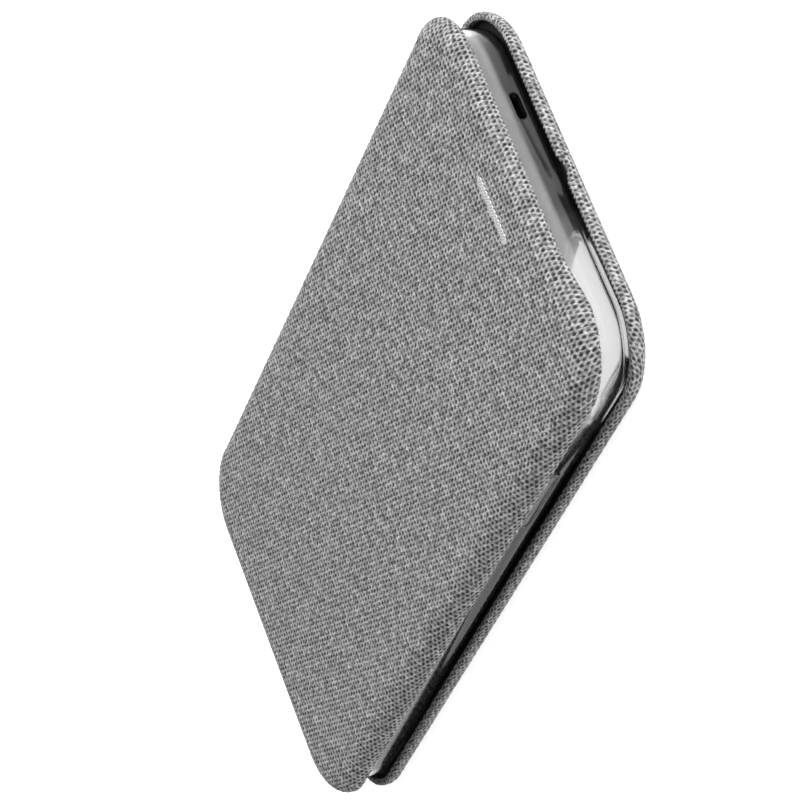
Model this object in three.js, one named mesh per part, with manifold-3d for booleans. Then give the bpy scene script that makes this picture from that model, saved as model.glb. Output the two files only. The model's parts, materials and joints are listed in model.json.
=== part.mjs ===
// Book-style folio case for a slim phone. Two stiff covers and a spine share one woven skin, and a clear
// flexible tray for the phone is glued inside the back cover. The case lies closed on its back cover.
// Millimetres, +Z up. +X is the opening edge, -X the spine side and +Y the top end of the phone.
// The origin is under the middle of the case, on the surface that it lies on.
import * as THREE from "three";
import { mergeVertices } from "three/addons/utils/BufferGeometryUtils.js";
import Module from "manifold-3d";

const wasm = await Module();
wasm.setup();

// ---------------------------------------------------------------- driving dimensions

const CASE = { width: 74, length: 156, height: 12.8, corner: 12.5 };
const GLUE_GAP = 0.02; // between two layers that are glued together
const FABRIC = 0.5;
const CORNER_STEPS = 5;
const EDGE_STEPS = 4;

// A cover's edge is rounded from its outer face into an upturned rim: roundIn is how far in from the
// outline the rounding starts, roundDeep how deep it ends, and rim the full depth of the edge.
const BACK = { roundIn: 3.4, roundDeep: 2.6, rim: 3.6, boardTop: 1.42, liningTop: 1.8 };
const FRONT = { roundIn: 4.2, roundDeep: 3.0, rim: 4.1, foamTop: 1.3, boardTop: 2.02, liningTop: 2.4 };
const SIDE = { fabric: 0.5, board: 0.98, lining: 1.36 }; // how thick the layers are at a rim, added up
const HEM = { width: 1.5, deep: 0.95, round: 0.35 }; // the skin turned over a rim
const THUMB_DIP = { x: -0.2, width: 4.2, bottomZ: 2.8 }; // a shallow dip in the back cover's top rim
const SWING_ROOM = { toX: -33, topZ: 10.3 }; // the front cover's rim is lower here, so it swings past the tray
// Along both ends the front cover's rim is lower too, and slopes to its full depth before the free corners.
const END_ROOM = { fromX: 18, toX: 24, fromY: 66, deep: 20, topZ: 10.1 };
const TUCK = { board: 0.5, lining: 0.2 }; // how much shorter those layers are than the skin where the rim is low

// Both creases run along Y. The spine stands between them and its two plates turn clear of the covers.
const CREASE = { x: -36.2, lowZ: 1.1, highZ: 11.7, length: 131, radius: 0.8 };
const COVER_END = CREASE.x + 1.5;
const CREASE_END_GAP = 0.4; // past the creases' ends the covers keep their whole rounded corners
const SPINE = { lowZ: CREASE.lowZ + 1.1, highZ: CREASE.highZ - 1.1, outer: -37, inner: -35.4 };

const TRAY = {
  left: -34.6, right: 35, halfLength: 75.7, corner: 11, bottomZ: 2.1, height: 8, floor: 0.85, wall: 1.2,
};
const PAD = { width: 58, length: 86, centreY: -24, bottomZ: 1.82, topZ: 2.08 };
const CAMERA = { x: 19.45, y: 61.4, width: 22.3, length: 23, corner: 4.6, collar: 0.7, collarBottomZ: 0.3 };
const JACK = { x: -13.75, z: 5.4, width: 5.3, height: 1.7 };
const PORT = { x: 0.2, z: 6.1, width: 13, height: 4.6 };
const SPEAKER = { offset: 17.5, z: 6.1, width: 13, height: 1.8 };
const BUTTON = { z: 6.7, height: 2.4, proud: 0.45, gap: 0.2 };
const POWER = { y: 34, length: 17 };
const VOLUME = { upperY: 41, lowerY: 27, length: 11.5 };

const EARPIECE = { x: -0.3, y: 67.4, length: 12.6, width: 1.5 };
const MESH_PLATE = { length: 15.4, width: 4, bottomZ: 12.02, topZ: 12.26 };
const MESH_HOLE = { radius: 0.26, pitch: 0.86, rowPitch: 0.62, inRow: 15 };
const MAGNET = { x: 31, y: 25, width: 3, length: 12 };
const POCKET = { x: 0, y: -14, width: 58, length: 92, topZ: 10.38, bottomZ: 10.08, thumb: 9 };

// ---------------------------------------------------------------- materials

const standard = (color, roughness, metalness = 0) =>
  new THREE.MeshStandardMaterial({ color, roughness, metalness });
const wovenGrey = standard(0x868686, 0.95);
const greyboard = standard(0x6b675f, 0.9);
const softFoam = standard(0x3a3a3c, 1.0);
const blackSuede = standard(0x1b1b1d, 0.9);
const adhesive = standard(0xd8d6cc, 0.6);
const brightSteel = standard(0xb9bcc0, 0.35, 0.9);
const clearRubber = new THREE.MeshStandardMaterial({
  color: 0xe4e7e8,
  roughness: 0.15,
  transparent: true,
  opacity: 0.45,
});

// ---------------------------------------------------------------- solids

// A closed three.js geometry as a manifold solid, turned face out.
function solidOf(geometry) {
  const bare = geometry.clone();
  bare.deleteAttribute("normal");
  bare.deleteAttribute("uv");
  const merged = mergeVertices(bare, 1e-4);
  const make = (triVerts) =>
    new wasm.Manifold(
      new wasm.Mesh({ numProp: 3, vertProperties: merged.attributes.position.array, triVerts }),
    );
  const solid = make(new Uint32Array(merged.index.array));
  if (solid.volume() > 0) return solid;
  return make(new Uint32Array(merged.index.array).reverse());
}

function meshOf(name, solid, material) {
  const { vertProperties, triVerts } = solid.getMesh();
  const geometry = new THREE.BufferGeometry();
  geometry.setAttribute("position", new THREE.BufferAttribute(new Float32Array(vertProperties), 3));
  geometry.setIndex(new THREE.BufferAttribute(new Uint32Array(triVerts), 1));
  geometry.computeVertexNormals();
  const mesh = new THREE.Mesh(geometry, material);
  mesh.name = name;
  return mesh;
}

// A rounded rectangle's corner points, anticlockwise.
function roundedOutline(halfX, halfY, radius, centreX = 0) {
  const points = [];
  for (let corner = 0; corner < 4; corner++) {
    const signX = corner === 0 || corner === 3 ? 1 : -1;
    const signY = corner < 2 ? 1 : -1;
    for (let i = 0; i <= CORNER_STEPS; i++) {
      const turn = (Math.PI / 2) * (corner + i / CORNER_STEPS);
      points.push([
        centreX + signX * (halfX - radius) + radius * Math.cos(turn),
        signY * (halfY - radius) + radius * Math.sin(turn),
      ]);
    }
  }
  return points;
}

// A solid through a row of rounded rectangles. Each profile point is [inset from the outline, z], and the
// first and last rings are closed with flat faces.
function loft(profile, { halfX, halfY, corner, centreX = 0 }) {
  const positions = [];
  for (const [inset, z] of profile)
    for (const [x, y] of roundedOutline(halfX - inset, halfY - inset, corner - inset, centreX))
      positions.push(x, y, z);
  const count = 4 * (CORNER_STEPS + 1);
  const index = [];
  for (let ring = 0; ring + 1 < profile.length; ring++)
    for (let i = 0; i < count; i++) {
      const a = ring * count + i;
      const b = ring * count + ((i + 1) % count);
      index.push(a, b, b + count, a, b + count, a + count);
    }
  const last = (profile.length - 1) * count;
  for (let i = 1; i + 1 < count; i++) {
    index.push(0, i + 1, i);
    index.push(last, last + i, last + i + 1);
  }
  const geometry = new THREE.BufferGeometry();
  geometry.setAttribute("position", new THREE.Float32BufferAttribute(positions, 3));
  geometry.setIndex(index);
  return solidOf(geometry);
}

function box(low, high) {
  const geometry = new THREE.BoxGeometry(high[0] - low[0], high[1] - low[1], high[2] - low[2]);
  geometry.translate((low[0] + high[0]) / 2, (low[1] + high[1]) / 2, (low[2] + high[2]) / 2);
  return solidOf(geometry);
}

// A rounded rectangle pushed up from its base; width is along X and length along Y.
function slab(width, length, radius, thickness) {
  const shape = new THREE.Shape();
  const x = width / 2 - radius;
  const y = length / 2 - radius;
  shape.absarc(x, y, radius, 0, Math.PI / 2);
  shape.absarc(-x, y, radius, Math.PI / 2, Math.PI);
  shape.absarc(-x, -y, radius, Math.PI, 1.5 * Math.PI);
  shape.absarc(x, -y, radius, 1.5 * Math.PI, 2 * Math.PI);
  return new THREE.ExtrudeGeometry(shape, { depth: thickness, bevelEnabled: false, curveSegments: 5 });
}

const slabAt = (x, y, lowZ, highZ, width, length, radius) =>
  solidOf(slab(width, length, radius, highZ - lowZ).translate(x, y, lowZ));

// The same rounded rectangle looking along X or along Y, with its height up.
const alongX = (lowX, highX, y, z, length, height, radius) =>
  solidOf(slab(height, length, radius, highX - lowX).rotateY(Math.PI / 2).translate(lowX, y, z));
const alongY = (x, lowY, highY, z, width, height, radius) =>
  solidOf(slab(width, height, radius, highY - lowY).rotateX(-Math.PI / 2).translate(x, lowY, z));

// ---------------------------------------------------------------- covers

const outlineOf = { halfX: CASE.width / 2, halfY: CASE.length / 2, corner: CASE.corner };
const spineHalf = CREASE.length / 2 + CREASE_END_GAP;
const spineSide = box([-60, -spineHalf, -20], [COVER_END, spineHalf, 40]);

// Where a layer's surface runs, from its flat face round to its side: [inset, depth from the outer face].
function flank(cover, side, face) {
  const points = [];
  for (let i = 0; i <= EDGE_STEPS; i++) {
    const turn = (Math.PI / 2) * (1 - i / EDGE_STEPS);
    const inset = cover.roundIn - (cover.roundIn - side) * Math.cos(turn);
    const depth = cover.roundDeep - (cover.roundDeep - face) * Math.sin(turn);
    points.push([inset, depth]);
  }
  return points;
}

// The woven skin of a cover: flat face, rounded edge, and a hem turned in over the rim.
function skin(cover, toZ) {
  const top = cover.rim;
  const inner = flank(cover, FABRIC, FABRIC).reverse();
  const profile = [
    ...flank(cover, 0, 0),
    [0, top - HEM.round],
    [HEM.round, top],
    [HEM.width - HEM.round, top],
    [HEM.width, top - HEM.round],
    [HEM.width, top - HEM.deep],
    [SIDE.board + GLUE_GAP, top - HEM.deep],
    [SIDE.board + GLUE_GAP, top - FABRIC],
    [SIDE.fabric, top - FABRIC],
    ...inner,
  ];
  return loft(profile.map(([inset, depth]) => [inset, toZ(depth)]), outlineOf).subtract(spineSide);
}

// A stiff or lining layer with its edge turned up: side and face are each [outer, inner].
function layer(cover, side, face, rim, toZ) {
  const profile = [
    ...flank(cover, side[0], face[0]),
    [side[0], rim],
    [side[1], rim],
    ...flank(cover, side[1], face[1]).reverse(),
  ];
  return loft(profile.map(([inset, depth]) => [inset, toZ(depth)]), outlineOf).subtract(spineSide);
}

const boardSide = [SIDE.fabric + GLUE_GAP, SIDE.board];
const liningSide = [SIDE.board + GLUE_GAP, SIDE.lining];
const boardRim = (cover) => cover.rim - FABRIC - GLUE_GAP;
const liningRim = (cover) => cover.rim - HEM.deep - GLUE_GAP;

function backCover() {
  const up = (depth) => depth;
  const wall = CAMERA.collar + 0.3;
  const opening = slabAt(
    CAMERA.x, CAMERA.y, -5, 5,
    CAMERA.width + 2 * wall, CAMERA.length + 2 * wall, CAMERA.corner + wall,
  );
  const dip = box(
    [THUMB_DIP.x - THUMB_DIP.width / 2, TRAY.halfLength, THUMB_DIP.bottomZ],
    [THUMB_DIP.x + THUMB_DIP.width / 2, 100, 10],
  );
  const boardFace = [FABRIC + GLUE_GAP, BACK.boardTop];
  const liningFace = [BACK.boardTop + GLUE_GAP, BACK.liningTop];
  let board = layer(BACK, boardSide, boardFace, boardRim(BACK), up).subtract(opening).subtract(dip);
  const magnets = [];
  for (const [name, y] of [["back_magnet_upper", MAGNET.y], ["back_magnet_lower", -MAGNET.y]]) {
    board = board.subtract(magnetBar(y, -1, 3, 0.15));
    magnets.push(meshOf(name, magnetBar(y, boardFace[0] + 0.02, boardFace[1] - 0.02, 0), brightSteel));
  }
  const pad = slabAt(0, PAD.centreY, PAD.bottomZ, PAD.topZ, PAD.width, PAD.length, 6);
  const lining = layer(BACK, liningSide, liningFace, liningRim(BACK), up).subtract(opening);
  return [
    meshOf("back_fabric", skin(BACK, up).subtract(opening).subtract(dip), wovenGrey),
    meshOf("back_board", board, greyboard),
    meshOf("back_lining", lining, blackSuede),
    meshOf("adhesive_pad", pad, adhesive),
    ...magnets,
  ];
}

function magnetBar(y, lowZ, highZ, spare) {
  return slabAt(MAGNET.x, y, lowZ, highZ, MAGNET.width + 2 * spare, MAGNET.length + 2 * spare, 0.6 + spare);
}

// What is cut off the front cover where its rim is low; a layer inside the skin is cut back a little more.
function lowRim(tuck) {
  const { fromX, toX, fromY, deep, topZ } = END_ROOM;
  const fullZ = CASE.height - FRONT.rim;
  const corners = [[-60, 0], [toX, 0], [toX, fullZ], [fromX, topZ + tuck], [-60, topZ + tuck]];
  const section = new THREE.Shape(corners.map(([x, z]) => new THREE.Vector2(x, z)));
  const prism = new THREE.ExtrudeGeometry(section, { depth: deep, bevelEnabled: false }).rotateX(Math.PI / 2);
  const plusEnd = solidOf(prism.clone().translate(0, fromY + deep, 0));
  const minusEnd = solidOf(prism.clone().translate(0, -fromY, 0));
  const swingTop = Math.max(SWING_ROOM.topZ, topZ + tuck);
  return box([-60, -100, 0], [SWING_ROOM.toX, 100, swingTop]).add(plusEnd).add(minusEnd);
}

function frontCover() {
  const down = (depth) => CASE.height - depth;
  const slit = (spare) =>
    slabAt(
      EARPIECE.x, EARPIECE.y, 5, 20,
      EARPIECE.length + 2 * spare, EARPIECE.width + 2 * spare, EARPIECE.width / 2 + spare - 0.01,
    );
  const foamFace = [FABRIC + GLUE_GAP, FRONT.foamTop];
  const boardFace = [FRONT.foamTop + GLUE_GAP, FRONT.boardTop];
  const liningFace = [FRONT.boardTop + GLUE_GAP, FRONT.liningTop];
  let foam = loft(
    [[FRONT.roundIn + 0.1, down(foamFace[1])], [FRONT.roundIn + 0.1, down(foamFace[0])]], outlineOf,
  ).subtract(slabAt(EARPIECE.x, EARPIECE.y, 5, 20, MESH_PLATE.length + 0.6, MESH_PLATE.width + 0.6, 2.2));
  const magnets = [];
  for (const [name, y] of [["front_magnet_upper", MAGNET.y], ["front_magnet_lower", -MAGNET.y]]) {
    foam = foam.subtract(magnetBar(y, 5, 20, 0.15));
    const bar = magnetBar(y, down(foamFace[1]) + GLUE_GAP, down(foamFace[0]) - GLUE_GAP, 0);
    magnets.push(meshOf(name, bar, brightSteel));
  }
  const fabric = skin(FRONT, down).subtract(slit(0)).subtract(lowRim(0));
  const board = layer(FRONT, boardSide, boardFace, boardRim(FRONT), down)
    .subtract(slit(0.2)).subtract(lowRim(TUCK.board));
  const lining = layer(FRONT, liningSide, liningFace, liningRim(FRONT), down)
    .subtract(slit(0)).subtract(lowRim(TUCK.lining));
  return [
    meshOf("front_fabric", fabric, wovenGrey),
    meshOf("front_foam", foam, softFoam),
    meshOf("front_board", board, greyboard),
    meshOf("front_lining", lining, blackSuede),
    meshOf("earpiece_mesh", earpieceMesh(), brightSteel),
    meshOf("card_pocket", cardPocket(), blackSuede),
    ...magnets,
  ];
}

// A thin plate under the slit, with staggered rows of round holes.
function earpieceMesh() {
  const { bottomZ, topZ, length, width } = MESH_PLATE;
  let plate = slabAt(EARPIECE.x, EARPIECE.y, bottomZ, topZ, length, width, 1.9);
  const hole = new THREE.CylinderGeometry(MESH_HOLE.radius, MESH_HOLE.radius, 2, 6).rotateX(Math.PI / 2);
  for (const row of [-0.5, 0.5])
    for (let i = 0; i < MESH_HOLE.inRow; i++) {
      const x = EARPIECE.x + (i - (MESH_HOLE.inRow - 1) / 2 + row / 2) * MESH_HOLE.pitch;
      const y = EARPIECE.y + row * MESH_HOLE.rowPitch;
      plate = plate.subtract(solidOf(hole.clone().translate(x, y, topZ)));
    }
  return plate;
}

// A flat leaf on the lining with a thumb notch in the edge that cards go in by.
function cardPocket() {
  const leaf = slabAt(POCKET.x, POCKET.y, POCKET.bottomZ, POCKET.topZ, POCKET.width, POCKET.length, 4);
  const notch = new THREE.CylinderGeometry(POCKET.thumb, POCKET.thumb, 4, 24).rotateX(Math.PI / 2);
  return leaf.subtract(solidOf(notch.translate(POCKET.x + POCKET.width / 2, POCKET.y, POCKET.topZ)));
}

// ---------------------------------------------------------------- spine

function spine() {
  const half = CREASE.length / 2;
  const sheet = (lowX, highX) => box([lowX, -half, SPINE.lowZ], [highX, half, SPINE.highZ]);
  const skinX = SPINE.outer + FABRIC;
  const liningX = SPINE.inner - 0.4;
  const { radius, length, x } = CREASE;
  const crease = (z) => solidOf(new THREE.CylinderGeometry(radius, radius, length, 16).translate(x, 0, z));
  return [
    meshOf("spine_fabric", sheet(SPINE.outer, skinX), wovenGrey),
    meshOf("spine_board", sheet(skinX + GLUE_GAP, liningX - GLUE_GAP), greyboard),
    meshOf("spine_lining", sheet(liningX, SPINE.inner), blackSuede),
    meshOf("lower_crease", crease(CREASE.lowZ), wovenGrey),
    meshOf("upper_crease", crease(CREASE.highZ), wovenGrey),
  ];
}

// ---------------------------------------------------------------- tray and buttons

const wallWindows = [
  { name: "power_button", side: "right", y: POWER.y, length: POWER.length },
  { name: "volume_up_button", side: "left", y: VOLUME.upperY, length: VOLUME.length },
  { name: "volume_down_button", side: "left", y: VOLUME.lowerY, length: VOLUME.length },
];

function tray() {
  const { bottomZ, height, floor, wall } = TRAY;
  const profile = [
    [1.6, 0], [0.5, 0.45], [0, 1.6], [0, height - 0.4], [0.25, height],
    [wall + 0.25, height], [wall + 0.5, height - 0.25], [wall + 0.5, height - 0.65], [wall, height - 1.1],
    [wall, 2.2], [wall + 0.8, floor + 0.3], [wall + 1.4, floor],
  ];
  const outline = {
    halfX: (TRAY.right - TRAY.left) / 2,
    halfY: TRAY.halfLength,
    corner: TRAY.corner,
    centreX: (TRAY.right + TRAY.left) / 2,
  };
  const { x, y, width, length, corner, collar } = CAMERA;
  const end = TRAY.halfLength;
  const pill = ({ x: middle, z, width: wide, height: high }, side, offset = 0) =>
    alongY(middle + offset, side * end - 4, side * end + 4, z, wide, high, high / 2 - 0.01);
  const speaker = { x: PORT.x, ...SPEAKER };
  const wide = width + 2 * collar;
  const long = length + 2 * collar;
  let body = loft(profile.map(([inset, rise]) => [inset, bottomZ + rise]), outline)
    .add(slabAt(x, y, CAMERA.collarBottomZ, bottomZ + 0.4, wide, long, corner + collar))
    .subtract(slabAt(x, y, -5, 5, width, length, corner))
    .subtract(pill(JACK, 1))
    .subtract(pill(PORT, -1))
    .subtract(pill(speaker, -1, SPEAKER.offset))
    .subtract(pill(speaker, -1, -SPEAKER.offset));
  for (const { side, y: middle, length: run } of wallWindows) {
    const wallX = side === "right" ? TRAY.right : TRAY.left;
    const high = BUTTON.height + 2 * BUTTON.gap;
    body = body.subtract(
      alongX(wallX - 3, wallX + 3, middle, BUTTON.z, run + 2 * BUTTON.gap, high, high / 2 - 0.01),
    );
  }
  return meshOf("tray", body, clearRubber);
}

function buttons() {
  return wallWindows.map(({ name, side, y, length }) => {
    const low = side === "right" ? TRAY.right - TRAY.wall : TRAY.left - BUTTON.proud;
    const high = side === "right" ? TRAY.right + BUTTON.proud : TRAY.left + TRAY.wall;
    return meshOf(
      name, alongX(low, high, y, BUTTON.z, length, BUTTON.height, BUTTON.height / 2 - 0.01), clearRubber,
    );
  });
}

// ---------------------------------------------------------------- the case

const folioCase = new THREE.Group();
folioCase.add(...backCover(), tray(), ...buttons(), ...spine(), ...frontCover());

export default folioCase;
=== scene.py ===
"""Looks of a woven phone folio case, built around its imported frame.

Lengths are in millimetres unless a name says otherwise, and Mesher turns them into metres. The frame is the
case's own: +Z up through the front cover, +X towards the opening edge, -X the spine, +Y the phone's top end.
"""

from __future__ import annotations

import json
import logging
import math
from dataclasses import dataclass, field
from enum import Enum
from typing import Iterable, Sequence

import bmesh
import bpy
import numpy as np
from mathutils import Matrix, Vector

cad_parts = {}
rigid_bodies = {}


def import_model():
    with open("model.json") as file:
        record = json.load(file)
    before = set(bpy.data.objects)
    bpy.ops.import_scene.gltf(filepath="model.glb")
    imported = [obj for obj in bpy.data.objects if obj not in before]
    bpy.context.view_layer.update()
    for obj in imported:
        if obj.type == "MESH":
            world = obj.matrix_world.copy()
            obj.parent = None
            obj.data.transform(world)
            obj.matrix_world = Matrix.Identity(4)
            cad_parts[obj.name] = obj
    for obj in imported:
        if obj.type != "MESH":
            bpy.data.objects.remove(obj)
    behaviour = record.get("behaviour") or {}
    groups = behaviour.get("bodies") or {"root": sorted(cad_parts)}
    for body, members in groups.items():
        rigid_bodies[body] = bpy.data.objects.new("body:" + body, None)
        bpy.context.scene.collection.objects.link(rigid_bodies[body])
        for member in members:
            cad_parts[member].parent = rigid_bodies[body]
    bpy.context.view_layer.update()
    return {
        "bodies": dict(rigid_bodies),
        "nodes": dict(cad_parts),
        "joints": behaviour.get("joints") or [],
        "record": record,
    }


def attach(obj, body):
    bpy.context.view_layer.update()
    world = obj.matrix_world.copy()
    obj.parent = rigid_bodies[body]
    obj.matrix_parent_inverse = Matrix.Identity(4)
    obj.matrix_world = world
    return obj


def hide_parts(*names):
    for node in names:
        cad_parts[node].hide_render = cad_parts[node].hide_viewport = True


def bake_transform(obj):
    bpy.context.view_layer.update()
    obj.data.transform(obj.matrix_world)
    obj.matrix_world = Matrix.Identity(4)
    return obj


MM = 0.001
LOG = logging.getLogger("folio_case")


class Body(Enum):
    """The bodies that pieces ride on."""

    BACK = "back"
    SPINE = "spine"
    FRONT = "front"
    POWER = "power"
    VOLUME_UP = "volume_up"
    VOLUME_DOWN = "volume_down"


class Slot(Enum):
    """The record's material slots."""

    WOVEN = "woven_fabric"
    SUEDE = "suede_lining"
    FOAM = "foam"
    BOARD = "stiffener_board"
    CLEAR = "clear_tpu"
    FILM = "adhesive"
    MESH = "mesh_steel"
    MAGNET = "magnet_steel"


class Facing(Enum):
    """Which way a cover's outer face looks."""

    UP = 1
    DOWN = -1


# ---------------------------------------- nodes


class Shader:
    """A small writer of node trees around one Principled shader."""

    def __init__(self, name: str) -> None:
        """Starts a material.

        Args:
            name: the material's name.
        """
        self.material = bpy.data.materials.new(name)
        self.material.use_nodes = True
        self.tree = self.material.node_tree
        self.tree.nodes.clear()
        self.output = self.tree.nodes.new("ShaderNodeOutputMaterial")
        self.surface = self.tree.nodes.new("ShaderNodeBsdfPrincipled")
        self.link(self.surface.outputs[0], self.output.inputs["Surface"])

    def link(self, source: bpy.types.NodeSocket, target: bpy.types.NodeSocket) -> None:
        """Joins two sockets."""
        self.tree.links.new(source, target)

    def feed(self, target: bpy.types.NodeSocket, value: object) -> None:
        """Gives a socket a link or a plain value.

        Args:
            target: the input socket.
            value: an output socket, a number or a tuple.
        """
        if isinstance(value, bpy.types.NodeSocket):
            self.link(value, target)
        else:
            target.default_value = value

    def node(self, kind: str, inputs: dict[object, object], **settings: object) -> bpy.types.Node:
        """Adds a node.

        Args:
            kind: the node's type, without its ShaderNode prefix.
            inputs: values or sockets by input name or number.
            settings: properties of the node.

        Returns:
            The new node.
        """
        made = self.tree.nodes.new("ShaderNode" + kind)
        for key, value in settings.items():
            setattr(made, key, value)
        for key, value in inputs.items():
            self.feed(made.inputs[key], value)
        return made

    def math(self, operation: str, a: object, b: object = 0.0, c: object = 0.0) -> bpy.types.NodeSocket:
        """A Math node's result."""
        return self.node("Math", {0: a, 1: b, 2: c}, operation=operation).outputs[0]

    def ramp(self, value: object, low: float, high: float, smooth: bool = True) -> bpy.types.NodeSocket:
        """The value's place between low and high, from 0 to 1.

        Args:
            value: the value to place.
            low: where 0 is.
            high: where 1 is; it may be below low.
            smooth: whether the ends ease in.

        Returns:
            The place, kept between 0 and 1.
        """
        kind = "SMOOTHSTEP" if smooth else "LINEAR"
        limits = {"Value": value, "From Min": low, "From Max": high}
        return self.node("MapRange", limits, interpolation_type=kind).outputs[0]

    def combine(self, x: object, y: object, z: object = 0.0) -> bpy.types.NodeSocket:
        """A vector from three numbers."""
        return self.node("CombineXYZ", {0: x, 1: y, 2: z}).outputs[0]

    def noise(
        self, vector: object, scale: float, detail: float = 2.0, rough: float = 0.5
    ) -> bpy.types.NodeSocket:
        """A noise value about 0.5."""
        made = self.node("TexNoise", {"Vector": vector, "Scale": scale, "Detail": detail, "Roughness": rough})
        return made.outputs["Fac"]

    def grey(self, value: object) -> bpy.types.NodeSocket:
        """A neutral colour from one number."""
        return self.node("CombineColor", {0: value, 1: value, 2: value}).outputs[0]

    def bump(self, height: object, distance: float, strength: float = 1.0) -> None:
        """Roughens the surface.

        Args:
            height: the height socket, from 0 to 1.
            distance: what a height of 1 means, in millimetres.
            strength: the share of it that shows.
        """
        made = self.node("Bump", {"Height": height, "Distance": distance * MM, "Strength": strength})
        self.link(made.outputs[0], self.surface.inputs["Normal"])

    def scaled(self, vector: object, scale: tuple[float, float, float]) -> bpy.types.NodeSocket:
        """A vector times a scale on each axis."""
        return self.node("Mapping", {"Vector": vector, "Scale": scale}).outputs[0]

    def place(self) -> bpy.types.NodeSocket:
        """The point in the object's own frame, in metres."""
        return self.node("TexCoord", {}).outputs["Object"]

    def set(self, **values: object) -> None:
        """Sets the Principled shader's own sockets; underscores stand for spaces."""
        for key, value in values.items():
            self.feed(self.surface.inputs[key.replace("_", " ")], value)


# ---------------------------------------- weave


@dataclass(frozen=True)
class Weave:
    """A plain weave whose lengthwise yarns float over every second row, with a pit between two floats."""

    column: float = 0.454
    row: float = 1.177
    steps_across: int = 2
    steps_along: int = 2
    crest: float = 0.05
    pit: float = 0.26
    pit_half_length: float = 0.42
    pit_half_width: float = 0.26
    pit_flare: float = 0.05
    pit_lean: float = 0.03

    @property
    def across_step(self) -> float:
        """Grid pitch across the yarns."""
        return self.column / self.steps_across

    @property
    def along_step(self) -> float:
        """Grid pitch along the yarns."""
        return self.row / self.steps_along

    def height(self, across: np.ndarray, along: np.ndarray) -> np.ndarray:
        """The cloth's relief.

        Args:
            across: place across the lengthwise yarns.
            along: place along them.

        Returns:
            The height above the cloth's mean outer face.
        """
        x = across / (2 * self.column)
        y = along / (2 * self.row)
        relief = self.crest * np.cos(2 * np.pi * x) * np.cos(2 * np.pi * y)
        for shift in (0.0, 0.5):
            beside = ((x + shift) % 1 - 0.5) * 2 * self.column
            ahead = ((y + 0.5 + shift) % 1 - 0.5) * 2 * self.row
            width = self.pit_half_width + self.pit_flare * np.clip(ahead / self.pit_half_length, -1, 1)
            reach = ((beside - self.pit_lean * ahead) / width) ** 2 + (ahead / self.pit_half_length) ** 2
            relief = relief - self.pit * np.exp(-reach)
        return relief


WEAVE = Weave()
WEAVE_UV = "weave"


# ---------------------------------------- finishes


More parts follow.
